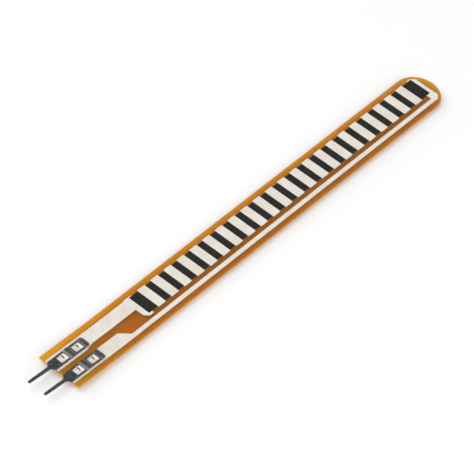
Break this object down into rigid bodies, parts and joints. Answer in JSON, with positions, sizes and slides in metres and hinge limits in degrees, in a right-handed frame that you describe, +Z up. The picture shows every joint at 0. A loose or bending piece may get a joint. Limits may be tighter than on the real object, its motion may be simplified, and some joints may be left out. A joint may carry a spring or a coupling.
{
  "type": "flex sensor",
  "caption": "Thin amber film strip with a carbon band crossed by silver bars, whose resistance rises as it is bent, and two crimped solder tabs.",
  "frame": {"origin": "middle of the bounding box's bottom, on the table under the strip's middle", "axes": "+X along the strip towards its round tip, +Y across it towards the supply terminal, +Z up off the table"},
  "size_m": [0.0778, 0.0064, 0.001],
  "materials": {
    "amber_film": "clear amber polyimide, satin",
    "silver_ink": "matt printed silver ink",
    "carbon_ink": "matt printed carbon ink",
    "plated_metal": "dull tin plating on thin stamped metal"
  },
  "bodies": {
    "root": {"base_film": "amber_film", "resistive_strip": "carbon_ink", "segment_01": "silver_ink", "segment_02": "silver_ink", "segment_03": "silver_ink", "segment_04": "silver_ink", "segment_05": "silver_ink", "segment_06": "silver_ink", "segment_07": "silver_ink", "segment_08": "silver_ink", "segment_09": "silver_ink", "segment_10": "silver_ink", "segment_11": "silver_ink", "segment_12": "silver_ink", "segment_13": "silver_ink", "segment_14": "silver_ink", "segment_15": "silver_ink", "segment_16": "silver_ink", "segment_17": "silver_ink", "segment_18": "silver_ink", "segment_19": "silver_ink", "segment_20": "silver_ink", "segment_21": "silver_ink", "segment_22": "silver_ink", "supply_trace": "silver_ink", "return_trace": "silver_ink", "supply_terminal": "plated_metal", "return_terminal": "plated_metal"}
  },
  "joints": []
}
